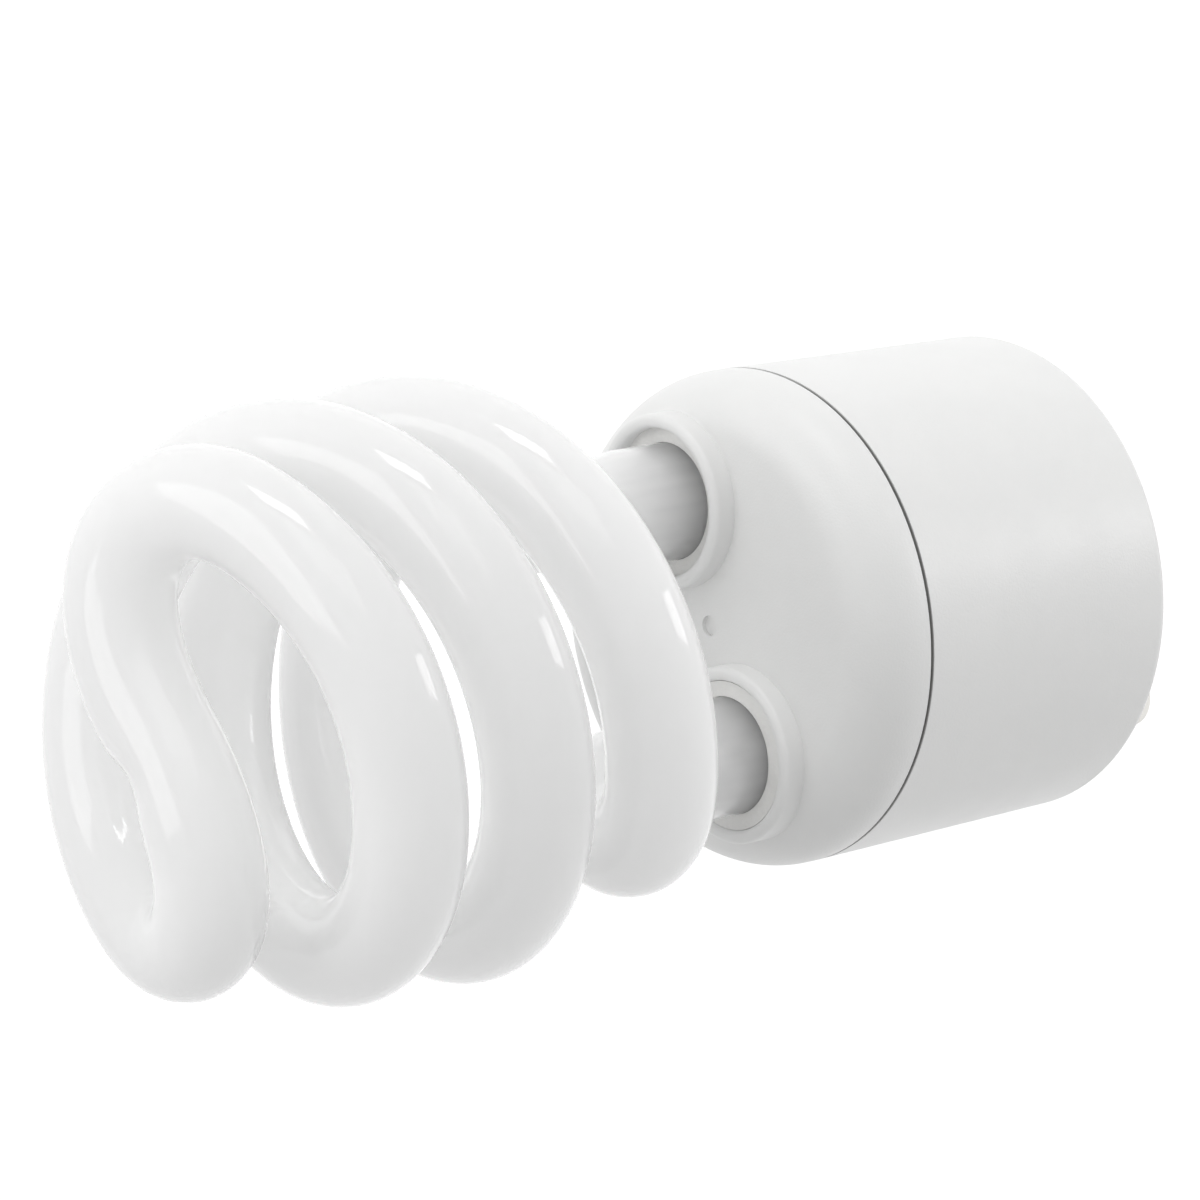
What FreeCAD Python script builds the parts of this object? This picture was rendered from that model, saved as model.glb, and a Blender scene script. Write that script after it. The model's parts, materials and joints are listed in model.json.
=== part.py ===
import FreeCAD, Part
import math
import os

# A spiral energy saving lamp on a two-pin twist-lock base, in millimetres and degrees.
# The origin is the centre of the base's seat, +Z runs along the axis towards the glass spiral,
# and the contact pins and the legs of the tube stand on the Y axis.

# Lower housing: a moulded cup, closed at the seat of the twist-lock base
base_radius = 19.0
housing_flare = 0.4
seam_height = 25.6
wall = 2.0
floor = 2.0
base_edge_round = 1.0
floor_round = 1.2
boss_radius = 4.5
boss_height = 2.5
boss_edge_round = 0.6

# Contact pins: turned brass, riveted through the floor of the housing
pin_spacing = 24.0
pin_head_radius = 2.5
pin_head_height = 3.0
pin_head_round = 0.4
pin_neck_radius = 1.6
pin_neck_length = 5.0
pin_shank_radius = 1.3
pin_rivet_radius = 2.3
pin_rivet_height = 0.8
pin_hole_clearance = 0.05
pin_socket_depth = 2.0

# Upper cap: a moulded lid that plugs into the housing and carries the glass
cap_height = 5.4
cap_shoulder_round = 4.4
cap_wall = 1.6
cap_inner_round = 2.0
lip_wall = 1.2
lip_clearance = 0.15
lip_edge_round = 0.3
seam_groove_height = 0.35
seam_groove_depth = 0.5
gate_mark_radius = 0.8
gate_mark_depth = 0.35
collar_wall = 1.1
collar_height = 1.9
collar_rim_round = 0.5
sleeve_depth = 5.2
snap_count = 4
snap_bearing = 45.0
snap_angle = 24.0
snap_reach = 0.45
snap_height = 1.2
snap_clearance = 0.12

# Glass spiral: one tube, bent into two interlocked coils that meet in a bridge over the axis
tube_radius = 4.15
coil_pitch = 22.8
coil_top_radius = 17.9
coil_foot_radius = 18.85
coil_start_bearing = 46.2
coil_start_inset = 0.78
coil_start_pull = 8.7
coil_opening_angle = 67.0
bridge_bearing = 111.1
bridge_rise = 3.55
bridge_pull = 15.6
leg_tube_radius = 4.6
leg_spacing = 20.2
leg_clearance = 1.2
leg_rise = 10.0
leg_bend_rise = 10.6
leg_bend_angle = 48.7
leg_bend_pull = 11.0
leg_end_gap = 1.6
leg_end_round = 1.8
leg_taper = 5.0
leg_taper_round = 8.0
cement_inset = 1.9
front_cement_recess = 0.3
rear_cement_recess = 1.2

# Ballast board: a round circuit board, clamped between a ledge of the housing and the cap's lip.
# The insets below are distances from the wall of the housing to the middle of a part.
board_inset = 5.6
board_thickness = 1.6
board_clearance = 0.2
board_clamp_gap = 0.1
ledge_width = 1.2
lead_radius = 0.3
lead_hole_clearance = 0.15
lead_stub = 0.8
filament_lead_spacing = 3.0
filament_lead_stub = 0.3
component_gap = 0.5

# Electrolytic capacitor
bulk_capacitor_inset = 7.2
bulk_capacitor_radius = 4.0
bulk_capacitor_length = 14.0
bulk_capacitor_lead_pitch = 3.5
bulk_capacitor_bead_height = 1.8
bulk_capacitor_bead_depth = 0.4
bulk_capacitor_bevel = 0.3

# Lamp choke: two E cores round a wound bobbin
choke_place = (1.9, -0.8)
core_width = 10.4
core_depth = 5.0
core_height = 11.0
core_back = 2.2
core_centre_leg = 2.8
core_outer_leg = 1.5
bobbin_wall = 0.6
bobbin_clearance = 0.1
bobbin_depth = 9.6
bobbin_rail = 1.4
bobbin_pin_spacing = 5.0
choke_winding_build = 1.2
choke_winding_round = 1.0

# Drive transformer: a ferrite ring with three windings
toroid_inset = 6.1
toroid_bearing = 66.0
toroid_outer_radius = 3.4
toroid_inner_radius = 1.8
toroid_height = 3.4
drive_winding_count = 3
drive_winding_angle = 56.0
drive_winding_wire = 0.45
drive_winding_gap = 0.05

# Switching transistors
transistor_inset = 5.3
transistor_spacing = 7.6
transistor_radius = 2.4
transistor_flat = 1.6
transistor_height = 4.6
transistor_lead_pitch = 1.27

# Film capacitors
resonant_capacitor_offset = 5.0
coupling_capacitor_offset = -6.2
film_capacitor_inset = 6.8
film_capacitor_width = 7.2
film_capacitor_depth = 3.8
film_capacitor_height = 9.0
film_capacitor_round = 0.8
film_capacitor_lead_pitch = 5.0

# Line filter inductor: a ferrite drum with one winding
drum_inset = 6.1
drum_bearing = 124.0
drum_radius = 2.6
drum_core_radius = 1.2
drum_flange = 1.0
drum_height = 7.0
drum_lead_pitch = 3.0
drum_winding_inset = 0.3

# Parts with leads at both ends, stood upright in a ring round the board
axial_wall_gap = 0.5
axial_lead_pitch = 2.54
axial_drop = 3.0
axial_tail = 1.0
axial_end_bevel = 0.3
diode_bearings = (131.0, 151.0, 171.0, 191.0)
diode_radius = 1.2
diode_length = 5.2
inrush_resistor_bearing = 38.0
inrush_resistor_radius = 1.3
inrush_resistor_length = 7.0
start_resistor_bearing = -5.0
start_resistor_radius = 0.85
start_resistor_length = 4.5
resistor_end_swell = 0.15
resistor_end_length = 1.2
diac_bearing = -40.0
diac_radius = 0.9
diac_length = 4.0

# Sizes that follow from those above
seam_radius = base_radius + housing_flare
housing_bore = base_radius - wall
rebate_radius = housing_bore + ledge_width
lip_radius = rebate_radius - lip_clearance
lip_inner_radius = lip_radius - lip_wall
board_height = seam_height - board_inset
board_top = board_height + board_thickness
lip_bottom = board_top + board_clamp_gap
cap_face = seam_height + cap_height
collar_bore = leg_tube_radius + leg_clearance
collar_radius = collar_bore + collar_wall
collar_top = cap_face + collar_height
sleeve_bottom = cap_face - sleeve_depth
snap_middle = (lip_bottom + seam_height) / 2
pin_tip = -(boss_height + pin_neck_length + pin_head_height)
pin_top = floor + pin_rivet_height
component_top = board_height - component_gap
axial_ring_radius = housing_bore - axial_wall_gap - inrush_resistor_radius - resistor_end_swell
film_capacitor_y = film_capacitor_inset - housing_bore
lead_tip = board_top + lead_stub
leg_end_height = lead_tip + leg_end_gap
cement_bottom = leg_end_height + cement_inset
leg_straight_top = cap_face + leg_rise
coil_foot = leg_straight_top + leg_bend_rise
leg_bearing = -90.0
coil_angle = coil_start_bearing - (leg_bearing - 360 + leg_bend_angle)
coil_top = coil_foot + coil_pitch * coil_angle / 360
bridge_height = coil_top + bridge_rise

Vector = FreeCAD.Vector
ORIGIN = Vector(0, 0, 0)
UP = Vector(0, 0, 1)
SIDES = {"front": -1, "rear": 1}
EMBED = 0.4
SHARP_CORNERS = 1
board_holes = []
bridge_steps = 5
coil_steps = 8
bend_steps = 4


def polar(radius, bearing, height=0.0):
    """Point at a radius and a bearing round the lamp's axis."""
    angle = math.radians(bearing)
    return Vector(radius * math.cos(angle), radius * math.sin(angle), height)


def outline(corners):
    """Closed wire in the XZ plane through corners of (radius, height) or (radius, height, rounding)."""
    points = [Vector(corner[0], 0, corner[1]) for corner in corners]
    arrivals = []
    departures = []
    edges = []
    for i, corner in enumerate(corners):
        here = points[i]
        arrival = here
        departure = here
        if len(corner) == 3:
            back = (points[i - 1] - here).normalize()
            ahead = (points[(i + 1) % len(points)] - here).normalize()
            half = back.getAngle(ahead) / 2
            arrival = here + back * (corner[2] / math.tan(half))
            departure = here + ahead * (corner[2] / math.tan(half))
            middle = here + (back + ahead).normalize() * (corner[2] / math.sin(half) - corner[2])
            edges.append(Part.Arc(arrival, middle, departure).toShape())
        arrivals.append(arrival)
        departures.append(departure)
    for i, arrival in enumerate(arrivals):
        edges.append(Part.makeLine(departures[i - 1], arrival))
    return Part.Wire(Part.__sortEdges__(edges))


def turned(corners, centre=ORIGIN, bearing=0.0, sweep=360.0):
    """Solid turned from an outline round an upright axis through a centre."""
    solid = Part.Face(outline(corners)).revolve(ORIGIN, UP, sweep)
    solid.rotate(ORIGIN, UP, bearing)
    solid.translate(centre)
    return solid


def rod(radius, bottom, top, x=0.0, y=0.0):
    """Upright round bar between two heights."""
    return Part.makeCylinder(radius, top - bottom, Vector(x, y, bottom))


def block(width, depth, bottom, top, x=0.0, y=0.0):
    """Upright rectangular bar centred on a place."""
    return Part.makeBox(width, depth, top - bottom, Vector(x - width / 2, y - depth / 2, bottom))


def upright_edges(solid):
    """The vertical edges of a block."""
    return [edge for edge in solid.Edges if abs(edge.tangentAt(edge.FirstParameter).z) > 0.99]


def lead(x, y, bottom):
    """Straight tinned lead, soldered in a hole of the board."""
    board_holes.append((x, y))
    return rod(lead_radius, bottom, lead_tip, x, y)


def lower_housing():
    """Cup with a ledge for the board, bosses for the pins and pockets for the cap's snap lugs."""
    cup = turned([
        (0, 0), (base_radius, 0, base_edge_round), (seam_radius, seam_height),
        (rebate_radius, seam_height), (rebate_radius, board_height), (housing_bore, board_height),
        (housing_bore, floor, floor_round), (0, floor)])
    for side in SIDES.values():
        centre = Vector(0, side * pin_spacing / 2, 0)
        boss = turned([
            (0, floor / 2), (0, -boss_height), (boss_radius, -boss_height, boss_edge_round),
            (boss_radius, floor / 2)], centre)
        hole = rod(pin_shank_radius + pin_hole_clearance, -boss_height, floor, centre.x, centre.y)
        cup = cup.fuse(boss).cut(hole)
    for i in range(snap_count):
        cup = cup.cut(snap_pocket(snap_bearing + 360 * i / snap_count))
    return cup.removeSplitter()


def snap_pocket(bearing):
    """Room for one snap lug in the wall of the housing."""
    bottom = snap_middle - snap_height / 2 - snap_clearance
    top = snap_middle + snap_height / 2 + snap_clearance
    depth = lip_radius + snap_reach + snap_clearance
    angle = snap_angle + 2 * math.degrees(snap_clearance / lip_radius)
    pocket = [(lip_radius, bottom), (depth, bottom), (depth, top), (lip_radius, top)]
    return turned(pocket, ORIGIN, bearing - angle / 2, angle)


def snap_lug(bearing):
    """Lug on the cap's lip, with a ramp on its lower side."""
    bottom = snap_middle - snap_height / 2
    top = snap_middle + snap_height / 2
    root = lip_radius - lip_wall / 2
    lug = [(root, bottom), (lip_radius, bottom), (lip_radius + snap_reach, snap_middle),
           (lip_radius + snap_reach, top), (root, top)]
    return turned(lug, ORIGIN, bearing - snap_angle / 2, snap_angle)


def upper_cap():
    """Lid with a round shoulder, a lip that enters the housing and a collar round each leg."""
    groove_radius = seam_radius - seam_groove_depth
    groove_top = seam_height + seam_groove_height
    lid = turned([
        (lip_inner_radius, lip_bottom), (lip_radius, lip_bottom, lip_edge_round), (lip_radius, seam_height),
        (groove_radius, seam_height), (groove_radius, groove_top), (seam_radius, groove_top),
        (seam_radius, cap_face, cap_shoulder_round), (0, cap_face), (0, cap_face - cap_wall),
        (lip_inner_radius, cap_face - cap_wall, cap_inner_round)])
    for side in SIDES.values():
        centre = Vector(0, side * leg_spacing / 2, 0)
        passage = rod(collar_bore + collar_wall / 2, sleeve_bottom, collar_top, centre.x, centre.y)
        collar = turned([
            (collar_bore, sleeve_bottom), (collar_radius, sleeve_bottom),
            (collar_radius, collar_top, collar_rim_round),
            (collar_bore, collar_top, collar_rim_round)], centre)
        lid = lid.cut(passage).fuse(collar)
    for i in range(snap_count):
        lid = lid.fuse(snap_lug(snap_bearing + 360 * i / snap_count))
    gate_mark = rod(gate_mark_radius, cap_face - gate_mark_depth, cap_face)
    return lid.cut(gate_mark).removeSplitter()


def contact_pin(side):
    """Headed pin with a shoulder under the boss and a riveted end that holds the lead."""
    centre = Vector(0, side * pin_spacing / 2, 0)
    head_top = pin_tip + pin_head_height
    pin = turned([
        (0, pin_tip), (pin_head_radius, pin_tip, pin_head_round), (pin_head_radius, head_top, pin_head_round),
        (pin_neck_radius, head_top), (pin_neck_radius, -boss_height), (pin_shank_radius, -boss_height),
        (pin_shank_radius, floor), (pin_rivet_radius, floor), (pin_rivet_radius, pin_top),
        (0, pin_top)], centre)
    return pin.cut(rod(lead_radius, pin_top - pin_socket_depth, pin_top, centre.x, centre.y))


def ease(share):
    """Smooth rise from 0 to 1."""
    share = min(max(share, 0.0), 1.0)
    return share * share * (3 - 2 * share)


def coil_point(turned_angle):
    """Point of a coil's centre line, by the angle from the end of the bridge towards the foot."""
    opening = ease(turned_angle / coil_opening_angle)
    radius = coil_top_radius + (coil_foot_radius - coil_top_radius) * turned_angle / coil_angle
    radius -= coil_start_inset * (1 - opening)
    return polar(radius, coil_start_bearing - turned_angle, coil_top - coil_pitch * turned_angle / 360)


def coil_tangent(turned_angle):
    """Direction of a coil's centre line, towards the foot."""
    step = 0.01
    return (coil_point(turned_angle + step) - coil_point(turned_angle - step)).normalize()


def arm_stations():
    """Points and directions along one arm, from the middle of the bridge to the top of its straight leg."""
    middle = UP * bridge_height
    start = coil_point(0)
    bridge = [middle, middle + polar(bridge_pull, bridge_bearing),
              start - coil_tangent(0) * coil_start_pull, start]
    foot = coil_point(coil_angle)
    leg_top = polar(leg_spacing / 2, leg_bearing, leg_straight_top)
    leg_bend = [foot, foot + coil_tangent(coil_angle) * leg_bend_pull,
                leg_top + UP * leg_bend_pull, leg_top]
    stations = [bezier(bridge, i / bridge_steps) for i in range(bridge_steps)]
    for i in range(coil_steps):
        angle = coil_angle * i / coil_steps
        stations.append((coil_point(angle), coil_tangent(angle)))
    return stations + [bezier(leg_bend, i / bend_steps) for i in range(bend_steps + 1)]


def bezier(handles, share):
    """Point and direction on a cubic curve."""
    a, b, c, d = handles
    rest = 1 - share
    point = a * rest ** 3 + b * (3 * rest ** 2 * share) + c * (3 * rest * share ** 2) + d * share ** 3
    along = (b - a) * rest ** 2 + (c - b) * (2 * rest * share) + (d - c) * share ** 2
    return point, along.normalize()


def arc(start, direction, end):
    """Circular arc, or line, that leaves a point in a direction and reaches another point."""
    chord = end - start
    aside = chord - direction * chord.dot(direction)
    if aside.Length < 1e-6 * chord.Length:
        return Part.makeLine(start, end)
    half = math.atan2(aside.Length, chord.dot(direction))
    radius = chord.Length / (2 * math.sin(half))
    aside.normalize()
    middle = start + direction * (radius * math.sin(half)) + aside * (radius * (1 - math.cos(half)))
    return Part.Arc(start, middle, end).toShape()


def two_arcs(start, leaving, end, arriving):
    """Two arcs that join two points smoothly, in given directions."""
    span = end - start
    spread = 2 * (1 - leaving.dot(arriving))
    pull = 2 * span.dot(leaving + arriving)
    if spread < 1e-9:
        reach = span.dot(span) / (4 * span.dot(arriving))
    else:
        reach = (math.sqrt(pull ** 2 + 4 * spread * span.dot(span)) - pull) / (2 * spread)
    first = start + leaving * reach
    second = end - arriving * reach
    middle = (first + second) * 0.5
    return [arc(start, leaving, middle), arc(middle, (second - first).normalize(), end)]


def bent_tube():
    """Both arms and the bridge between them, swept along tangent arcs."""
    arm = arm_stations()
    stations = [(Vector(-at.x, -at.y, at.z), Vector(along.x, along.y, -along.z)) for at, along in arm[:0:-1]]
    stations += arm
    edges = []
    for (start, leaving), (end, arriving) in zip(stations, stations[1:]):
        edges += two_arcs(start, leaving, end, arriving)
    start, along = stations[0]
    section = Part.Wire([Part.makeCircle(tube_radius, start, along)])
    return Part.Wire(edges).makePipeShell([section], True, False)


def straight_leg(side):
    """Straight closed end of the tube, which narrows at the top to the tube of the coil."""
    narrow_top = leg_straight_top - leg_taper / 4
    return turned([
        (0, leg_end_height), (leg_tube_radius, leg_end_height, leg_end_round),
        (leg_tube_radius, leg_straight_top - leg_taper, leg_taper_round),
        (tube_radius, narrow_top, leg_taper_round),
        (tube_radius, leg_straight_top), (0, leg_straight_top)], Vector(0, side * leg_spacing / 2, 0))


def spiral_tube():
    """Bridge, coils and legs as one bent glass tube."""
    return bent_tube().fuse([straight_leg(side) for side in SIDES.values()])


def tube_cement(side, recess):
    """Ring of cement that bonds a leg into the sleeve of its collar, filled to below the rim."""
    top = collar_top - recess
    section = [(leg_tube_radius, cement_bottom), (collar_bore, cement_bottom),
               (collar_bore, top), (leg_tube_radius, top)]
    return turned(section, Vector(0, side * leg_spacing / 2, 0))


def bulk_capacitor():
    """Aluminium can with a rolled bead near its leads."""
    x, y = bulk_capacitor_inset - housing_bore, 0
    bottom = component_top - bulk_capacitor_length
    bead = component_top - bulk_capacitor_bead_height
    radius = bulk_capacitor_radius
    flat = radius - bulk_capacitor_bevel
    can = turned([
        (0, bottom), (flat, bottom), (radius, bottom + bulk_capacitor_bevel),
        (radius, bead - bulk_capacitor_bead_depth), (radius - bulk_capacitor_bead_depth, bead),
        (radius, bead + bulk_capacitor_bead_depth), (radius, component_top - bulk_capacitor_bevel),
        (flat, component_top), (0, component_top)], Vector(x, y, 0))
    offset = bulk_capacitor_lead_pitch / 2
    return can.fuse([lead(x, y + offset, component_top - EMBED), lead(x, y - offset, component_top - EMBED)])


def choke_core(upper):
    """One E-shaped ferrite half, whose legs meet those of the other half."""
    x, y = choke_place
    middle = component_top - core_height / 2
    end = component_top if upper else component_top - core_height
    inner = end - core_back if upper else end + core_back
    leg_offset = (core_width - core_outer_leg) / 2
    core = block(core_width, core_depth, min(end, inner), max(end, inner), x, y)
    for width, offset in ((core_outer_leg, -leg_offset), (core_centre_leg, 0), (core_outer_leg, leg_offset)):
        core = core.fuse(block(width, core_depth, min(middle, inner), max(middle, inner), x + offset, y))
    return core.removeSplitter()


def bobbin_heights():
    """Outer faces of the bobbin's two flanges."""
    bottom = component_top - core_height + core_back + bobbin_clearance
    return bottom, component_top - core_back - bobbin_clearance


def choke_bobbin():
    """Moulded former round the core's centre leg, with two rails of pins up to the board."""
    x, y = choke_place
    bottom, top = bobbin_heights()
    passage_width = core_centre_leg + 2 * bobbin_clearance
    passage_depth = core_depth + 2 * bobbin_clearance
    flange_width = core_width - 2 * core_outer_leg - 2 * bobbin_clearance
    former = block(passage_width + 2 * bobbin_wall, passage_depth + 2 * bobbin_wall, bottom, top, x, y)
    former = former.fuse([
        block(flange_width, bobbin_depth, bottom, bottom + bobbin_wall, x, y),
        block(flange_width, bobbin_depth, top - bobbin_wall, top, x, y)])
    former = former.cut(block(passage_width, passage_depth, bottom, top, x, y))
    for side in SIDES.values():
        rail_y = y + side * (bobbin_depth - bobbin_rail) / 2
        former = former.fuse(block(flange_width, bobbin_rail, top - bobbin_wall, board_height, x, rail_y))
        for pin_x in (x - bobbin_pin_spacing / 2, x + bobbin_pin_spacing / 2):
            former = former.fuse(lead(pin_x, rail_y, board_height - EMBED))
    return former.removeSplitter()


def choke_winding():
    """Layers of enamelled wire between the flanges of the bobbin."""
    x, y = choke_place
    bottom, top = bobbin_heights()
    inner_width = core_centre_leg + 2 * (bobbin_clearance + bobbin_wall)
    inner_depth = core_depth + 2 * (bobbin_clearance + bobbin_wall)
    low = bottom + bobbin_wall
    high = top - bobbin_wall
    outer_width = inner_width + 2 * choke_winding_build
    outer_depth = inner_depth + 2 * choke_winding_build
    layers = block(outer_width, outer_depth, low, high, x, y)
    layers = layers.makeFillet(choke_winding_round, upright_edges(layers))
    return layers.cut(block(inner_width, inner_depth, low, high, x, y))


def toroid_heights():
    """Lower and upper face of the drive transformer's ring."""
    top = component_top - drive_winding_wire - drive_winding_gap
    return top - toroid_height, top


def toroid_centre():
    """Middle of the drive transformer, at the height of the base's seat."""
    return polar(housing_bore - toroid_inset, toroid_bearing)


def drive_toroid():
    """Ferrite ring of the drive transformer."""
    return turned(ring_section(0), toroid_centre())


def ring_section(grow):
    """Section of the drive transformer's ring, grown on every side."""
    bottom, top = toroid_heights()
    return [(toroid_inner_radius - grow, bottom - grow), (toroid_outer_radius + grow, bottom - grow),
            (toroid_outer_radius + grow, top + grow), (toroid_inner_radius - grow, top + grow)]


def drive_winding(number):
    """A few close turns round one stretch of the ring, with a lead at each end."""
    centre = toroid_centre()
    bearing = 360 * number / drive_winding_count
    turns = turned(ring_section(drive_winding_gap + drive_winding_wire), centre,
                   bearing - drive_winding_angle / 2, drive_winding_angle)
    turns = turns.cut(turned(ring_section(drive_winding_gap), centre))
    for end in (bearing - drive_winding_angle / 4, bearing + drive_winding_angle / 4):
        foot = centre + polar(toroid_outer_radius, end)
        turns = turns.fuse(lead(foot.x, foot.y, component_top - drive_winding_wire / 2))
    return turns


def transistor(side):
    """Moulded body with one flat side and three leads in a row."""
    x, y = housing_bore - transistor_inset, side * transistor_spacing / 2
    bottom = component_top - transistor_height
    body = rod(transistor_radius, bottom, component_top, x, y)
    flat = block(2 * transistor_radius, 2 * transistor_radius, bottom, component_top,
                 x + transistor_flat + transistor_radius, y)
    body = body.cut(flat)
    for i in (-1, 0, 1):
        body = body.fuse(lead(x, y + i * transistor_lead_pitch, component_top - EMBED))
    return body


def film_capacitor(x):
    """Dipped film capacitor with rounded edges and two leads."""
    y = film_capacitor_y
    body = block(film_capacitor_width, film_capacitor_depth,
                 component_top - film_capacitor_height, component_top, x, y)
    body = body.makeFillet(film_capacitor_round, body.Edges)
    for offset in (-film_capacitor_lead_pitch / 2, film_capacitor_lead_pitch / 2):
        body = body.fuse(lead(x + offset, y, component_top - film_capacitor_round))
    return body


def filter_inductor_core():
    """Ferrite drum with two flanges and two leads."""
    centre = polar(housing_bore - drum_inset, drum_bearing)
    bottom = component_top - drum_height
    drum = turned([
        (0, bottom), (drum_radius, bottom), (drum_radius, bottom + drum_flange),
        (drum_core_radius, bottom + drum_flange), (drum_core_radius, component_top - drum_flange),
        (drum_radius, component_top - drum_flange), (drum_radius, component_top), (0, component_top)], centre)
    for offset in (-drum_lead_pitch / 2, drum_lead_pitch / 2):
        drum = drum.fuse(lead(centre.x + offset, centre.y, component_top - EMBED))
    return drum


def filter_inductor_winding():
    """Enamelled wire that fills the drum between its flanges."""
    bottom = component_top - drum_height + drum_flange
    top = component_top - drum_flange
    outer = drum_radius - drum_winding_inset
    section = [(drum_core_radius, bottom), (outer, bottom), (outer, top), (drum_core_radius, top)]
    return turned(section, polar(housing_bore - drum_inset, drum_bearing))


def axial_part(bearing, radius, length, end_swell=0.0):
    """Round body stood on end, with one lead straight up and one bent back up beside it."""
    here = polar(axial_ring_radius, bearing)
    there = polar(axial_ring_radius, bearing + math.degrees(axial_lead_pitch / axial_ring_radius))
    top = board_height - axial_drop
    bottom = top - length
    swollen = radius + end_swell
    waist = []
    if end_swell:
        start = bottom + resistor_end_length
        end = top - resistor_end_length
        waist = [(swollen, start - end_swell), (radius, start), (radius, end), (swollen, end + end_swell)]
    flat = swollen - axial_end_bevel
    body = turned([(0, bottom), (flat, bottom), (swollen, bottom + axial_end_bevel), *waist,
                   (swollen, top - axial_end_bevel), (flat, top), (0, top)], here)
    inside = here + UP * (bottom + EMBED)
    low = UP * (bottom - axial_tail)
    path = Part.makePolygon([inside, here + low, there + low, there + UP * lead_tip])
    section = Part.Wire([Part.makeCircle(lead_radius, inside, UP)])
    board_holes.append((there.x, there.y))
    return body.fuse([
        lead(here.x, here.y, top - EMBED), path.makePipeShell([section], True, False, SHARP_CORNERS)])


def filament_lead(side, offset):
    """Straight wire from the sealed end of a leg into the board."""
    x = offset * filament_lead_spacing / 2
    y = side * leg_spacing / 2
    board_holes.append((x, y))
    return rod(lead_radius, board_height - filament_lead_stub, leg_end_height, x, y)


def pin_lead(side):
    """Straight wire from the socket of a contact pin into the board."""
    return lead(0, side * pin_spacing / 2, pin_top - pin_socket_depth)


def ballast_board():
    """Round board with a hole for every lead."""
    board = rod(rebate_radius - board_clearance, board_height, board_top)
    hole_radius = lead_radius + lead_hole_clearance
    return board.cut([rod(hole_radius, board_height, board_top, x, y) for x, y in board_holes])


parts = {
    "spiral_tube": spiral_tube(),
    "upper_cap": upper_cap(),
    "lower_housing": lower_housing(),
    "bulk_capacitor": bulk_capacitor(),
    "choke_core_upper": choke_core(True),
    "choke_core_lower": choke_core(False),
    "choke_bobbin": choke_bobbin(),
    "choke_winding": choke_winding(),
    "drive_toroid": drive_toroid(),
    "resonant_capacitor": film_capacitor(resonant_capacitor_offset),
    "coupling_capacitor": film_capacitor(coupling_capacitor_offset),
    "filter_inductor_core": filter_inductor_core(),
    "filter_inductor_winding": filter_inductor_winding(),
    "inrush_resistor": axial_part(inrush_resistor_bearing, inrush_resistor_radius, inrush_resistor_length,
                                  resistor_end_swell),
    "start_resistor": axial_part(start_resistor_bearing, start_resistor_radius, start_resistor_length,
                                 resistor_end_swell),
    "diac": axial_part(diac_bearing, diac_radius, diac_length),
}
for name, side in SIDES.items():
    parts[f"contact_pin_{name}"] = contact_pin(side)
    parts[f"pin_lead_{name}"] = pin_lead(side)
    parts[f"filament_lead_{name}_left"] = filament_lead(side, -1)
    parts[f"filament_lead_{name}_right"] = filament_lead(side, 1)
parts["tube_cement_front"] = tube_cement(SIDES["front"], front_cement_recess)
parts["tube_cement_rear"] = tube_cement(SIDES["rear"], rear_cement_recess)
for number in range(drive_winding_count):
    parts[f"drive_winding_{number + 1}"] = drive_winding(number)
for number, side in enumerate(SIDES.values()):
    parts[f"transistor_{number + 1}"] = transistor(side)
for number, bearing in enumerate(diode_bearings):
    parts[f"rectifier_diode_{number + 1}"] = axial_part(bearing, diode_radius, diode_length)
parts["ballast_board"] = ballast_board()

os.makedirs("parts", exist_ok=True)
for name, shape in parts.items():
    shape.exportStep(f"parts/{name}.step")
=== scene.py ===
import bpy
import bmesh
import json
import math
from mathutils import Matrix, Vector


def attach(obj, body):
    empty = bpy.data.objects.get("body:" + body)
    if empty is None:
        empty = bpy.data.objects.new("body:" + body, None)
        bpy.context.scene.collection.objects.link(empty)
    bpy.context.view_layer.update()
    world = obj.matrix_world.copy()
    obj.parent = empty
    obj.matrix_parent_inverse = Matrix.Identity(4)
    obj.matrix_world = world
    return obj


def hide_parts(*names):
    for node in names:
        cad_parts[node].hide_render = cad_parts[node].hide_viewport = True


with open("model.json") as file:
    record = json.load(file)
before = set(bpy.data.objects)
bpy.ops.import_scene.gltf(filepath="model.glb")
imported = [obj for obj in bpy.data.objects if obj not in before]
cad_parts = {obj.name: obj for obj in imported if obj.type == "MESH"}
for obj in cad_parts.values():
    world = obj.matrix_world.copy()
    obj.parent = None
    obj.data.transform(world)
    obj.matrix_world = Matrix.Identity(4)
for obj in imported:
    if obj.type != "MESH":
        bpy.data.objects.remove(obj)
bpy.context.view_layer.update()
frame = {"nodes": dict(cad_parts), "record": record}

# Lower housing: a cup of white flame resistant plastic, injection moulded with a fine satin grain.
# It holds the ballast, and its flat end is the seat of the twist-lock base.
mm = 0.001
merge_distance = 0.002 * mm


def smooth_copy(node, piece, sharp_angle=38.0):
    """A copy of a CAD node's triangles, merged and shaded smoothly between its sharp edges."""
    shape = bmesh.new()
    shape.from_mesh(frame["nodes"][node].data)
    bmesh.ops.remove_doubles(shape, verts=shape.verts, dist=merge_distance)
    for face in shape.faces:
        face.smooth = True
    for edge in shape.edges:
        edge.smooth = edge.calc_face_angle(0.0) < math.radians(sharp_angle)
    mesh = bpy.data.meshes.new(piece)
    shape.to_mesh(mesh)
    shape.free()
    copied = bpy.data.objects.new(piece, mesh)
    bpy.context.scene.collection.objects.link(copied)
    shading = copied.modifiers.new("even_shading", "WEIGHTED_NORMAL")
    shading.keep_sharp = True
    return copied


def stand_in_for(piece, node, material):
    """Gives a piece its finish and lets it stand for a CAD node."""
    piece.data.materials.clear()
    piece.data.materials.append(material)
    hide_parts(node)
    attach(piece, "root")


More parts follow.
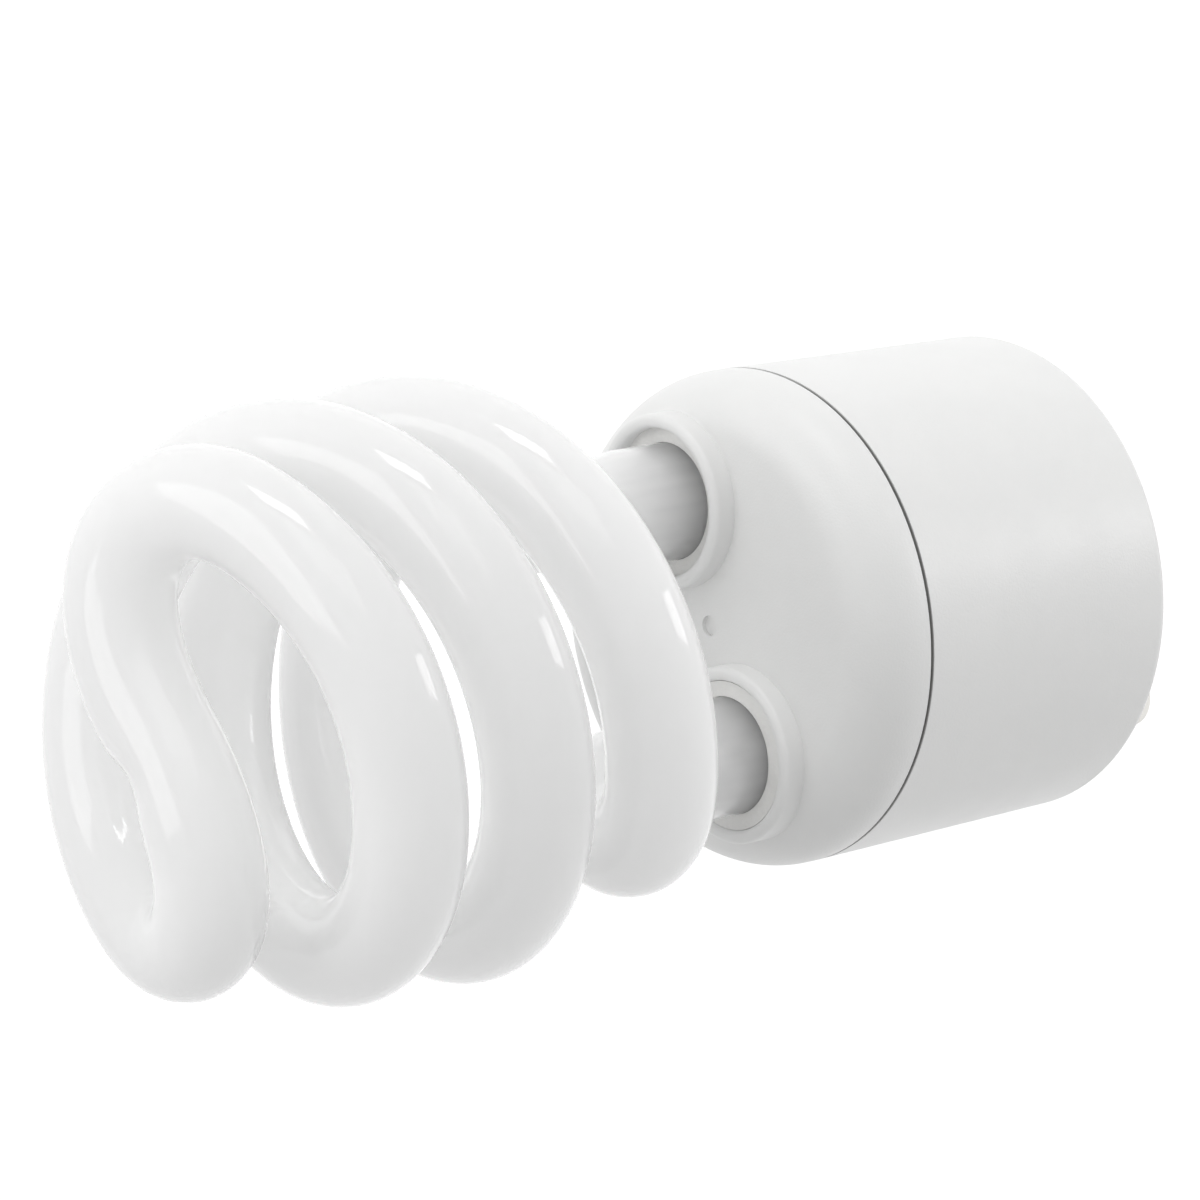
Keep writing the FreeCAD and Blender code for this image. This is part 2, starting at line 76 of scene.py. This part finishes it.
def add(tree, kind, settings=None, **values):
    """A node with its settings and input values; a value that is a socket is linked."""
    node = tree.nodes.new(kind)
    for name, setting in (settings or {}).items():
        setattr(node, name, setting)
    for name, value in values.items():
        socket = node.inputs[name.replace("_", " ")]
        if isinstance(value, bpy.types.NodeSocket):
            tree.links.new(value, socket)
        else:
            socket.default_value = value
    return node


def mix_colours(tree, share, first, second):
    """Colour between two others, by a share that changes over the surface."""
    node = tree.nodes.new("ShaderNodeMix")
    node.data_type = "RGBA"
    for index, value in ((0, share), (6, first), (7, second)):
        if isinstance(value, bpy.types.NodeSocket):
            tree.links.new(value, node.inputs[index])
        else:
            node.inputs[index].default_value = value
    return node.outputs[2]


def band(tree, value, low, high, to_low=0.0, to_high=1.0):
    """A value eased from one level to another between two limits."""
    node = add(tree, "ShaderNodeMapRange", {"interpolation_type": "SMOOTHSTEP"})
    for index, number in ((1, low), (2, high), (3, to_low), (4, to_high)):
        node.inputs[index].default_value = number
    tree.links.new(value, node.inputs[0])
    return node.outputs[0]


def new_group(name, inputs, outputs):
    """An empty shader group with named inputs and outputs, and its two end nodes."""
    tree = bpy.data.node_groups.new(name, "ShaderNodeTree")
    for label, kind in inputs:
        tree.interface.new_socket(name=label, in_out="INPUT", socket_type=kind)
    for label, kind in outputs:
        tree.interface.new_socket(name=label, in_out="OUTPUT", socket_type=kind)
    return tree, tree.nodes.new("NodeGroupInput"), tree.nodes.new("NodeGroupOutput")


VALUE = "NodeSocketFloat"
VECTOR = "NodeSocketVector"


def moulded_grain():
    """Fine even grain of a moulded or pressed surface, and the broad clouds of its colour."""
    tree, ends_in, ends_out = new_group(
        "moulded_grain",
        [("Place", VECTOR), ("Grain Scale", VALUE), ("Cloud Scale", VALUE)],
        [("Height", VALUE), ("Cloud", VALUE)])
    place = ends_in.outputs["Place"]
    grain = add(tree, "ShaderNodeTexNoise", Vector=place, Scale=ends_in.outputs["Grain Scale"],
                Detail=2.0, Roughness=0.6)
    cloud = add(tree, "ShaderNodeTexNoise", Vector=place, Scale=ends_in.outputs["Cloud Scale"],
                Detail=3.0, Roughness=0.55)
    tree.links.new(grain.outputs["Fac"], ends_out.inputs["Height"])
    tree.links.new(band(tree, cloud.outputs["Fac"], 0.3, 0.7), ends_out.inputs["Cloud"])
    return tree


grain_group = moulded_grain()


def new_material(name):
    """A material with a Principled shader, its tree and the surface's object coordinates."""
    material = bpy.data.materials.new(name)
    material.use_nodes = True
    tree = material.node_tree
    return material, tree, tree.nodes["Principled BSDF"], add(tree, "ShaderNodeTexCoord").outputs["Object"]


def set_values(shader, **values):
    """Plain values on a shader's own sockets."""
    for name, value in values.items():
        shader.inputs[name.replace("_", " ")].default_value = value


def grained(tree, place, grain_scale, cloud_scale):
    """The grain group in a material, with that material's own scales; gives its Height and Cloud."""
    node = add(tree, "ShaderNodeGroup", {"node_tree": grain_group},
               Place=place, Grain_Scale=grain_scale, Cloud_Scale=cloud_scale)
    return node.outputs


def raise_surface(tree, shader, height, depth):
    """Bump of a given depth, in metres, from a height."""
    bump = add(tree, "ShaderNodeBump", Height=height, Strength=1.0, Distance=depth)
    tree.links.new(bump.outputs["Normal"], shader.inputs["Normal"])


def product(tree, first, second):
    """Product of two values that change over the surface."""
    node = add(tree, "ShaderNodeMath", {"operation": "MULTIPLY"})
    tree.links.new(first, node.inputs[0])
    tree.links.new(second, node.inputs[1])
    return node.outputs[0]


plastic_greyish = (0.842, 0.844, 0.838, 1)
plastic_white = (0.856, 0.857, 0.851, 1)
seam_painted_shade = (0.33, 0.33, 0.325, 1)
seam_bottom = 25.6 * mm
seam_top = 25.95 * mm
seam_mouth_radius = 19.4 * mm
seam_shade_fade = 0.06 * mm
seam_shade_depth = 0.2 * mm


def white_plastic():
    """Satin white plastic, a little greyer in clouds, with painted shade deep in the seam under the cap."""
    material, tree, shader, place = new_material("white_plastic")
    grain = grained(tree, place, grain_scale=5200.0, cloud_scale=160.0)
    clean = mix_colours(tree, grain["Cloud"], plastic_greyish, plastic_white)
    parted = add(tree, "ShaderNodeSeparateXYZ", Vector=place)
    flat = add(tree, "ShaderNodeCombineXYZ", X=parted.outputs["X"], Y=parted.outputs["Y"])
    radius = add(tree, "ShaderNodeVectorMath", {"operation": "LENGTH"})
    tree.links.new(flat.outputs["Vector"], radius.inputs[0])
    # Painted shade: the colour turns dark grey deep in the seam's groove under the cap, where the groove lies
    # in shade.
    above = band(tree, parted.outputs["Z"], seam_bottom - seam_shade_fade, seam_bottom)
    below = band(tree, parted.outputs["Z"], seam_top, seam_top + seam_shade_fade, to_low=1.0, to_high=0.0)
    inside = band(tree, radius.outputs["Value"], seam_mouth_radius - seam_shade_depth, seam_mouth_radius,
                  to_low=1.0, to_high=0.0)
    seam_shade_share = product(tree, product(tree, above, below), inside)
    tree.links.new(mix_colours(tree, seam_shade_share, clean, seam_painted_shade), shader.inputs["Base Color"])
    roughness = band(tree, grain["Cloud"], 0.0, 1.0, to_low=0.38, to_high=0.34)
    tree.links.new(roughness, shader.inputs["Roughness"])
    set_values(shader, IOR=1.5)
    raise_surface(tree, shader, grain["Height"], depth=0.02 * mm)
    return material


plastic = white_plastic()
housing = smooth_copy("lower_housing", "housing_cup")
stand_in_for(housing, "lower_housing", plastic)

# Contact pins: two headed pins of turned brass, plated pale grey and riveted through the housing's bosses.
# The lathe leaves fine rings, and handling leaves a thin tarnish.
plate_bright = (0.70, 0.69, 0.66, 1)
plate_tarnished = (0.60, 0.59, 0.56, 1)


def turned_brass():
    """Plated brass with lathe rings and patches of tarnish."""
    material, tree, shader, place = new_material("turned_brass")
    tarnish = grained(tree, place, grain_scale=2600.0, cloud_scale=420.0)["Cloud"]
    rings = add(tree, "ShaderNodeTexWave", {"bands_direction": "Z"},
                Vector=place, Scale=900.0, Distortion=0.4)
    tree.links.new(mix_colours(tree, tarnish, plate_bright, plate_tarnished), shader.inputs["Base Color"])
    roughness = band(tree, tarnish, 0.0, 1.0, to_low=0.22, to_high=0.38)
    tree.links.new(roughness, shader.inputs["Roughness"])
    set_values(shader, Metallic=1.0)
    raise_surface(tree, shader, rings.outputs["Fac"], depth=0.004 * mm)
    return material


brass = turned_brass()
for side in ("front", "rear"):
    pin = smooth_copy(f"contact_pin_{side}", f"brass_pin_{side}")
    stand_in_for(pin, f"contact_pin_{side}", brass)

# Ballast: the circuit that feeds the tube, with its parts soldered under a round laminate board.
# It is shut in the housing, so its CAD shapes stay and each kind of part gets its own finish.


def ballast_finish(name, colours, roughness, grain_depth, metallic=0.0, coat=0.0):
    """Finish of one kind of ballast part: two clouded colours and a fine grain."""
    material, tree, shader, place = new_material(name)
    grain = grained(tree, place, grain_scale=3500.0, cloud_scale=350.0)
    first, second = ((*colour, 1) for colour in colours)
    tree.links.new(mix_colours(tree, grain["Cloud"], first, second), shader.inputs["Base Color"])
    tree.links.new(band(tree, grain["Cloud"], 0.0, 1.0, *roughness), shader.inputs["Roughness"])
    set_values(shader, Metallic=metallic, Coat_Weight=coat)
    raise_surface(tree, shader, grain["Height"], grain_depth)
    return material


enamel_shadow = (0.20, 0.06, 0.025, 1)
enamel_dark = (0.55, 0.20, 0.08, 1)
enamel_bright = (0.68, 0.30, 0.12, 1)


def wound_wire():
    """Close turns of enamelled copper wire, lying across the axis of their winding."""
    material, tree, shader, place = new_material("wound_wire")
    cloud = grained(tree, place, grain_scale=3000.0, cloud_scale=300.0)["Cloud"]
    turns = add(tree, "ShaderNodeTexWave", {"bands_direction": "Z"},
                Vector=place, Scale=640.0, Distortion=0.3).outputs["Fac"]
    copper = mix_colours(tree, cloud, enamel_dark, enamel_bright)
    tree.links.new(mix_colours(tree, turns, enamel_shadow, copper), shader.inputs["Base Color"])
    roughness = band(tree, cloud, 0.0, 1.0, to_low=0.25, to_high=0.4)
    tree.links.new(roughness, shader.inputs["Roughness"])
    set_values(shader, Metallic=0.8)
    raise_surface(tree, shader, turns, depth=0.08 * mm)
    return material


ballast_finishes = {
    "board": ballast_finish(
        "board_laminate", colours=((0.60, 0.46, 0.25), (0.52, 0.38, 0.19)),
        roughness=(0.5, 0.6), grain_depth=0.02 * mm),
    "ferrite": ballast_finish(
        "pressed_ferrite", colours=((0.055, 0.055, 0.06), (0.09, 0.088, 0.09)),
        roughness=(0.55, 0.7), grain_depth=0.03 * mm),
    "copper_wire": wound_wire(),
    "bobbin": ballast_finish(
        "bobbin_moulding", colours=((0.12, 0.11, 0.10), (0.16, 0.15, 0.14)),
        roughness=(0.4, 0.5), grain_depth=0.01 * mm),
    "capacitor_sleeve": ballast_finish(
        "shrunk_sleeve", colours=((0.03, 0.04, 0.10), (0.05, 0.06, 0.13)),
        roughness=(0.25, 0.35), grain_depth=0.006 * mm, coat=0.3),
    "dipped_film": ballast_finish(
        "dipped_resin", colours=((0.40, 0.09, 0.05), (0.50, 0.13, 0.07)),
        roughness=(0.2, 0.3), grain_depth=0.02 * mm, coat=0.5),
    "black_epoxy": ballast_finish(
        "moulded_epoxy", colours=((0.02, 0.02, 0.022), (0.04, 0.04, 0.042)),
        roughness=(0.45, 0.6), grain_depth=0.01 * mm),
    "resistor_body": ballast_finish(
        "resistor_lacquer", colours=((0.66, 0.54, 0.34), (0.58, 0.46, 0.28)),
        roughness=(0.35, 0.5), grain_depth=0.01 * mm),
    "tinned_wire": ballast_finish(
        "tinned_wire", colours=((0.72, 0.71, 0.69), (0.60, 0.59, 0.57)),
        roughness=(0.25, 0.4), grain_depth=0.006 * mm, metallic=1.0),
}
for subpart in frame["record"]["subparts"]:
    finish = ballast_finishes.get(subpart["material_slot"])
    if finish:
        node = frame["nodes"][subpart["node"]]
        node.data.materials.clear()
        node.data.materials.append(finish)

# Upper cap: the lid of the housing, moulded in the same white plastic with a round shoulder.
# It snaps into the housing over a narrow seam, and a raised collar stands round each leg of the tube.
cap = smooth_copy("upper_cap", "shoulder_cap")
stand_in_for(cap, "upper_cap", plastic)

# Tube cement: a ring of dull pale mineral cement that was poured round each leg inside its collar.
# It fills the front collar almost to its rim and stands deeper in the rear one.
cement_greyish = (0.82, 0.816, 0.80, 1)
cement_pale = (0.87, 0.866, 0.85, 1)


def cast_cement():
    """Dull grainy cement, pale with slightly greyer clouds."""
    material, tree, shader, place = new_material("cast_cement")
    grain = grained(tree, place, grain_scale=2200.0, cloud_scale=500.0)
    colour = mix_colours(tree, grain["Cloud"], cement_greyish, cement_pale)
    tree.links.new(colour, shader.inputs["Base Color"])
    set_values(shader, Roughness=0.9)
    raise_surface(tree, shader, grain["Height"], depth=0.1 * mm)
    return material


cement = cast_cement()
for side in ("front", "rear"):
    ring = frame["nodes"][f"tube_cement_{side}"]
    ring.data.materials.clear()
    ring.data.materials.append(cement)

# Glass spiral: one soft glass tube, bent hot into two coils that meet in a bridge over the axis.
# Its inside is coated with white powder, so it looks like gloss over a soft white.
tube_radius = 4.13 * mm
leg_tube_radius = 4.58 * mm
coil_pitch = 22.8 * mm
coil_top_radius = 17.9 * mm
coil_foot_radius = 18.85 * mm
coil_start_bearing = 46.2
coil_start_inset = 0.78 * mm
coil_start_pull = 8.7 * mm
coil_opening_angle = 67.0
bridge_bearing = 111.1
bridge_rise = 3.55 * mm
bridge_pull = 15.6 * mm
leg_offset = 10.1 * mm
leg_bearing = -90.0
leg_straight_top = 41.0 * mm
leg_taper_bottom = 36.0 * mm
leg_taper_top = 39.75 * mm
leg_bend_rise = 10.6 * mm
leg_bend_angle = 48.7
leg_bend_pull = 11.0 * mm
leg_end_height = 24.02 * mm
leg_end_round = 1.8 * mm
dent_place = (-1.75 * mm, -3.35 * mm, 86.5 * mm)
dent_reach = 2.3 * mm
dent_depth = 0.8 * mm
thin_powder_bottom = 40.0 * mm
thin_powder_top = 47.0 * mm
powder_greyish = (0.884, 0.886, 0.882, 1)
powder_white = (0.896, 0.898, 0.894, 1)
thin_powder_grey = (0.79, 0.795, 0.80, 1)
thin_powder_pale = (0.90, 0.903, 0.905, 1)
edge_painted_shade = (0.80, 0.805, 0.81, 1)
streak_stretch = (1.0, 1.0, 0.06)
scatter_length = 40.0 * mm
tube_sides = 64
bridge_steps = 48
coil_steps = 240
bend_steps = 40
leg_steps = 24
end_steps = 8
tangent_step = 0.01
coil_angle = coil_start_bearing - (leg_bearing - 360 + leg_bend_angle)
coil_top = leg_straight_top + leg_bend_rise + coil_pitch * coil_angle / 360


def polar(radius, bearing, height=0.0):
    """Point at a radius and a bearing round the lamp's axis."""
    angle = math.radians(bearing)
    return Vector((radius * math.cos(angle), radius * math.sin(angle), height))


def ease(share):
    """Smooth rise from 0 to 1."""
    share = min(max(share, 0.0), 1.0)
    return share * share * (3 - 2 * share)


def coil_point(turned_angle):
    """Point of a coil's centre line, by the angle from the end of the bridge towards the foot."""
    opening = ease(turned_angle / coil_opening_angle)
    radius = coil_top_radius + (coil_foot_radius - coil_top_radius) * turned_angle / coil_angle
    radius -= coil_start_inset * (1 - opening)
    return polar(radius, coil_start_bearing - turned_angle, coil_top - coil_pitch * turned_angle / 360)


def coil_tangent(turned_angle):
    """Direction of a coil's centre line, towards the foot."""
    ahead = coil_point(turned_angle + tangent_step)
    return (ahead - coil_point(turned_angle - tangent_step)).normalized()


def bezier(handles, share):
    """Point on a cubic curve."""
    a, b, c, d = handles
    rest = 1 - share
    return a * rest ** 3 + b * (3 * rest ** 2 * share) + c * (3 * rest * share ** 2) + d * share ** 3


def arm_line():
    """Centre line of one arm: half the bridge, the coil, the bend of the leg and the leg."""
    middle = Vector((0, 0, coil_top + bridge_rise))
    start = coil_point(0)
    bridge = (middle, middle + polar(bridge_pull, bridge_bearing),
              start - coil_tangent(0) * coil_start_pull, start)
    foot = coil_point(coil_angle)
    leg_top = polar(leg_offset, leg_bearing, leg_straight_top)
    leg_bend = (foot, foot + coil_tangent(coil_angle) * leg_bend_pull,
                leg_top + Vector((0, 0, leg_bend_pull)), leg_top)
    line = [bezier(bridge, i / bridge_steps) for i in range(bridge_steps)]
    line += [coil_point(coil_angle * i / coil_steps) for i in range(coil_steps)]
    line += [bezier(leg_bend, i / bend_steps) for i in range(bend_steps)]
    straight = leg_straight_top - leg_end_height - leg_end_round
    line += [leg_top - Vector((0, 0, straight * i / leg_steps)) for i in range(leg_steps + 1)]
    end = line[-1]
    for i in range(1, end_steps + 1):
        line.append(end - Vector((0, 0, leg_end_round * math.sin(math.radians(90 * i / end_steps)))))
    return line


def centre_line():
    """Both arms as one chain of edges, with the share of leg and of closed end at each point."""
    arm = arm_line()
    other = [Vector((-p.x, -p.y, p.z)) for p in arm]
    points = list(reversed(arm)) + other[1:]
    mesh = bpy.data.meshes.new("tube_line")
    mesh.from_pydata(points, [(i, i + 1) for i in range(len(points) - 1)], [])
    leg_share = []
    end_share = []
    for point in arm:
        leg_share.append(1 - ease((point.z - leg_taper_bottom) / (leg_taper_top - leg_taper_bottom)))
        rest = max(leg_end_height + leg_end_round - point.z, 0.0) / leg_end_round
        rounding = leg_end_round * (1 - math.sqrt(max(1 - min(rest, 1.0) ** 2, 0.0)))
        end_share.append(1 - rounding / leg_tube_radius)
    for name, shares in (("leg_share", leg_share), ("end_share", end_share)):
        attribute = mesh.attributes.new(name, "FLOAT", "POINT")
        attribute.data.foreach_set("value", list(reversed(shares)) + shares[1:])
    return mesh


def glass_tube_tree(material):
    """Nodes that draw a round tube along a line, thicker by its share of leg and dented in one place."""
    tree = bpy.data.node_groups.new("glass_tube", "GeometryNodeTree")
    tree.interface.new_socket(name="Geometry", in_out="INPUT", socket_type="NodeSocketGeometry")
    for label, kind in (("Tube Radius", VALUE), ("Leg Radius", VALUE), ("Sides", "NodeSocketInt"),
                        ("Dent Place", VECTOR), ("Dent Reach", VALUE), ("Dent Depth", VALUE)):
        tree.interface.new_socket(name=label, in_out="INPUT", socket_type=kind)
    tree.interface.new_socket(name="Geometry", in_out="OUTPUT", socket_type="NodeSocketGeometry")
    ends_in = tree.nodes.new("NodeGroupInput")
    ends_out = tree.nodes.new("NodeGroupOutput")

    def share(name):
        node = add(tree, "GeometryNodeInputNamedAttribute", {"data_type": "FLOAT"}, Name=name)
        return node.outputs["Attribute"]

    def reckon(operation, *values):
        node = add(tree, "ShaderNodeMath", {"operation": operation})
        for index, value in enumerate(values):
            tree.links.new(value, node.inputs[index])
        return node.outputs[0]

    thin = ends_in.outputs["Tube Radius"]
    swell = reckon("SUBTRACT", ends_in.outputs["Leg Radius"], thin)
    radius = reckon("MULTIPLY", reckon("MULTIPLY_ADD", swell, share("leg_share"), thin), share("end_share"))
    line = add(tree, "GeometryNodeMeshToCurve", Mesh=ends_in.outputs["Geometry"])
    ring = add(tree, "GeometryNodeCurvePrimitiveCircle", Resolution=ends_in.outputs["Sides"], Radius=1.0)
    tube = add(tree, "GeometryNodeCurveToMesh", Curve=line.outputs["Curve"],
               Profile_Curve=ring.outputs["Curve"], Scale=radius, Fill_Caps=True)
    away = add(tree, "ShaderNodeVectorMath", {"operation": "DISTANCE"})
    tree.links.new(tree.nodes.new("GeometryNodeInputPosition").outputs[0], away.inputs[0])
    tree.links.new(ends_in.outputs["Dent Place"], away.inputs[1])
    share_away = reckon("DIVIDE", away.outputs["Value"], ends_in.outputs["Dent Reach"])
    fall = add(tree, "ShaderNodeMath", {"operation": "POWER"})
    fall.inputs[0].default_value = math.exp(-1.0)
    tree.links.new(reckon("MULTIPLY", share_away, share_away), fall.inputs[1])
    sink = add(tree, "ShaderNodeMath", {"operation": "MULTIPLY"})
    sink.inputs[1].default_value = -1.0
    tree.links.new(reckon("MULTIPLY", fall.outputs[0], ends_in.outputs["Dent Depth"]), sink.inputs[0])
    inward = add(tree, "ShaderNodeVectorMath", {"operation": "SCALE"}, Scale=sink.outputs[0])
    tree.links.new(tree.nodes.new("GeometryNodeInputNormal").outputs["Normal"], inward.inputs[0])
    dented = add(tree, "GeometryNodeSetPosition", Geometry=tube.outputs["Mesh"],
                 Offset=inward.outputs["Vector"])
    smooth = add(tree, "GeometryNodeSetShadeSmooth", Geometry=dented.outputs["Geometry"], Shade_Smooth=True)
    real = add(tree, "GeometryNodeRealizeInstances", Geometry=smooth.outputs["Geometry"])
    coated = add(tree, "GeometryNodeSetMaterial", Geometry=real.outputs["Geometry"], Material=material)
    tree.links.new(coated.outputs["Geometry"], ends_out.inputs["Geometry"])
    return tree


def coated_glass():
    """White powder under clear gloss: a soft white that lets light through, with grey streaks on the legs."""
    material, tree, shader, place = new_material("coated_glass")
    cloud = grained(tree, place, grain_scale=1500.0, cloud_scale=130.0)["Cloud"]
    powder = mix_colours(tree, cloud, powder_greyish, powder_white)
    along = add(tree, "ShaderNodeVectorMath", {"operation": "MULTIPLY"})
    tree.links.new(place, along.inputs[0])
    along.inputs[1].default_value = streak_stretch
    streaks = add(tree, "ShaderNodeTexNoise", Vector=along.outputs["Vector"], Scale=380.0, Detail=2.0)
    streak_share = band(tree, streaks.outputs["Fac"], 0.36, 0.64)
    thin_powder = mix_colours(tree, streak_share, thin_powder_grey, thin_powder_pale)
    parted = add(tree, "ShaderNodeSeparateXYZ", Vector=place)
    thinning = band(tree, parted.outputs["Z"], thin_powder_bottom, thin_powder_top, to_low=1.0, to_high=0.0)
    coating = mix_colours(tree, thinning, powder, thin_powder)
    # Painted shade: the colour greys towards the tube's outline, where its surface is seen edge-on.
    facing = add(tree, "ShaderNodeLayerWeight", Blend=0.5).outputs["Facing"]
    colour = mix_colours(tree, band(tree, facing, 0.55, 0.92), coating, edge_painted_shade)
    tree.links.new(colour, shader.inputs["Base Color"])
    set_values(shader, Roughness=0.8, Specular_IOR_Level=0.0,
               Coat_Weight=1.0, Coat_Roughness=0.055, Coat_IOR=1.5,
               Subsurface_Weight=1.0, Subsurface_Radius=(1.0, 1.0, 1.0), Subsurface_Scale=scatter_length)
    return material


def draw_tube():
    """The glass spiral as a plain mesh, drawn by its nodes."""
    glass = coated_glass()
    line = bpy.data.objects.new("glass_spiral", centre_line())
    bpy.context.scene.collection.objects.link(line)
    tree = glass_tube_tree(glass)
    nodes = line.modifiers.new("glass_tube", "NODES")
    nodes.node_group = tree
    sizes = {"Tube Radius": tube_radius, "Leg Radius": leg_tube_radius, "Sides": tube_sides,
             "Dent Place": dent_place, "Dent Reach": dent_reach, "Dent Depth": dent_depth}
    for socket in tree.interface.items_tree:
        if socket.in_out == "INPUT" and socket.name in sizes:
            nodes[socket.identifier] = sizes[socket.name]
    drawn = line.evaluated_get(bpy.context.evaluated_depsgraph_get())
    mesh = bpy.data.meshes.new_from_object(drawn)
    line.modifiers.remove(nodes)
    line.data = mesh
    return line, glass


spiral, glass = draw_tube()
stand_in_for(spiral, "spiral_tube", glass)

# Floor: a plain pale studio floor, well below the lamp, which is held by its base and doesn't stand.
floor_height = -0.26
floor_reach = 6.0
floor_grey = (0.89, 0.89, 0.89, 1)
floor_pale = (0.91, 0.91, 0.91, 1)
floor_lift = 0.45


def background_rays(tree):
    """1 for the rays that show the background: the camera's own, and those off gloss and through glass."""
    path = add(tree, "ShaderNodeLightPath")
    seen = path.outputs["Is Camera Ray"]
    for kind in ("Is Glossy Ray", "Is Transmission Ray"):
        either = add(tree, "ShaderNodeMath", {"operation": "MAXIMUM"})
        tree.links.new(seen, either.inputs[0])
        tree.links.new(path.outputs[kind], either.inputs[1])
        seen = either.outputs[0]
    return seen


def studio_floor():
    """White floor that takes the lamp's shadow, reads as white to the camera and is clear from below."""
    material, tree, shader, place = new_material("studio_floor")
    cloud = grained(tree, place, grain_scale=400.0, cloud_scale=6.0)["Cloud"]
    tree.links.new(mix_colours(tree, cloud, floor_grey, floor_pale), shader.inputs["Base Color"])
    set_values(shader, Roughness=0.9, Emission_Color=(1, 1, 1, 1))
    lift = add(tree, "ShaderNodeMath", {"operation": "MULTIPLY"})
    tree.links.new(background_rays(tree), lift.inputs[0])
    lift.inputs[1].default_value = floor_lift
    tree.links.new(lift.outputs[0], shader.inputs["Emission Strength"])
    clear_below = add(tree, "ShaderNodeMixShader")
    tree.links.new(add(tree, "ShaderNodeNewGeometry").outputs["Backfacing"], clear_below.inputs[0])
    tree.links.new(shader.outputs["BSDF"], clear_below.inputs[1])
    tree.links.new(add(tree, "ShaderNodeBsdfTransparent").outputs["BSDF"], clear_below.inputs[2])
    tree.links.new(clear_below.outputs["Shader"], tree.nodes["Material Output"].inputs["Surface"])
    mesh = bpy.data.meshes.new("studio_floor")
    signs = ((-1, -1), (1, -1), (1, 1), (-1, 1))
    corners = [(x * floor_reach, y * floor_reach, floor_height) for x, y in signs]
    mesh.from_pydata(corners, [], [(0, 1, 2, 3)])
    mesh.materials.append(material)
    floor = bpy.data.objects.new("studio_floor", mesh)
    bpy.context.scene.collection.objects.link(floor)
    return floor


studio_floor()

# Camera: a long lens, at the photograph's viewing angle.
camera_right = Vector((0.5966, -0.2599, -0.7592))
camera_up = Vector((0.2395, 0.9606, -0.1407))
camera_back = Vector((0.7659, -0.0979, 0.6355))
camera_place = Vector((0.3491, -0.0411, 0.3305))
camera = bpy.data.cameras.new("photo_camera")
camera.sensor_fit = "HORIZONTAL"
camera.sensor_width = 36.0
camera.lens = 180.0
viewer = bpy.data.objects.new("photo_camera", camera)
camera_turn = Matrix((camera_right, camera_up, camera_back)).transposed().to_4x4()
viewer.matrix_world = Matrix.Translation(camera_place) @ camera_turn
bpy.context.scene.collection.objects.link(viewer)
bpy.context.scene.camera = viewer

# Studio light: a bright strip that draws the highlights on the glass, three soft panels, a weak light in
# the coil, and soft light all round that is stronger from the side that is up in the photograph.
lamp_middle = Vector((0, 0, 0.045))


def softbox(name, direction, distance, width, height, radiance):
    """A soft light panel that faces the lamp from a direction, with its width along the camera's right."""
    light = bpy.data.lights.new(name, "AREA")
    light.shape = "RECTANGLE"
    light.size = width
    light.size_y = height
    light.energy = radiance * math.pi * width * height
    panel = bpy.data.objects.new(name, light)
    back = Vector(direction).normalized()
    across = (camera_right - back * camera_right.dot(back)).normalized()
    turn = Matrix((across, back.cross(across), back)).transposed().to_4x4()
    panel.matrix_world = Matrix.Translation(lamp_middle + back * distance) @ turn
    bpy.context.scene.collection.objects.link(panel)


softbox("key_strip", (0.45, 0.885, 0.11), distance=0.7, width=0.26, height=0.15, radiance=4.6)
softbox("top_panel", (0.76, 0.58, 0.27), distance=0.8, width=0.50, height=0.40, radiance=0.7)
softbox("front_panel", (-0.01, 0.35, 0.93), distance=0.7, width=0.50, height=0.60, radiance=1.5)
softbox("side_panel", (0.634, 0.03, -0.761), distance=0.3, width=0.07, height=0.12, radiance=3.0)


def coil_fill(height, radius, power):
    """A small soft light on the lamp's axis, for light that the real glass lets through into the coil."""
    light = bpy.data.lights.new("coil_fill", "POINT")
    light.shadow_soft_size = radius
    light.energy = power
    fill = bpy.data.objects.new("coil_fill", light)
    fill.location = (0, 0, height)
    fill.visible_glossy = False
    bpy.context.scene.collection.objects.link(fill)


coil_fill(height=66.0 * mm, radius=6.0 * mm, power=0.0016)


def studio_world(bright_side, darkest, brightest):
    """Soft surroundings that brighten evenly from one side to the other; white as a background."""
    world = bpy.data.worlds.new("studio_world")
    world.use_nodes = True
    tree = world.node_tree
    towards = add(tree, "ShaderNodeVectorMath", {"operation": "DOT_PRODUCT"})
    tree.links.new(add(tree, "ShaderNodeTexCoord").outputs["Generated"], towards.inputs[0])
    towards.inputs[1].default_value = bright_side
    level = add(tree, "ShaderNodeMapRange")
    tree.links.new(towards.outputs["Value"], level.inputs[0])
    for index, number in ((1, -1.0), (2, 1.0), (3, darkest), (4, brightest)):
        level.inputs[index].default_value = number
    strength = add(tree, "ShaderNodeMix", {"data_type": "FLOAT"})
    tree.links.new(background_rays(tree), strength.inputs[0])
    tree.links.new(level.outputs[0], strength.inputs[2])
    strength.inputs[3].default_value = 1.0
    background = tree.nodes["Background"]
    background.inputs["Color"].default_value = (1, 1, 1, 1)
    tree.links.new(strength.outputs[0], background.inputs["Strength"])
    bpy.context.scene.world = world


photo_top_side = (camera_up * 0.88 - camera_back * 0.47).normalized()
studio_world(photo_top_side, darkest=0.47, brightest=0.92)
bpy.context.scene.view_settings.view_transform = "Standard"
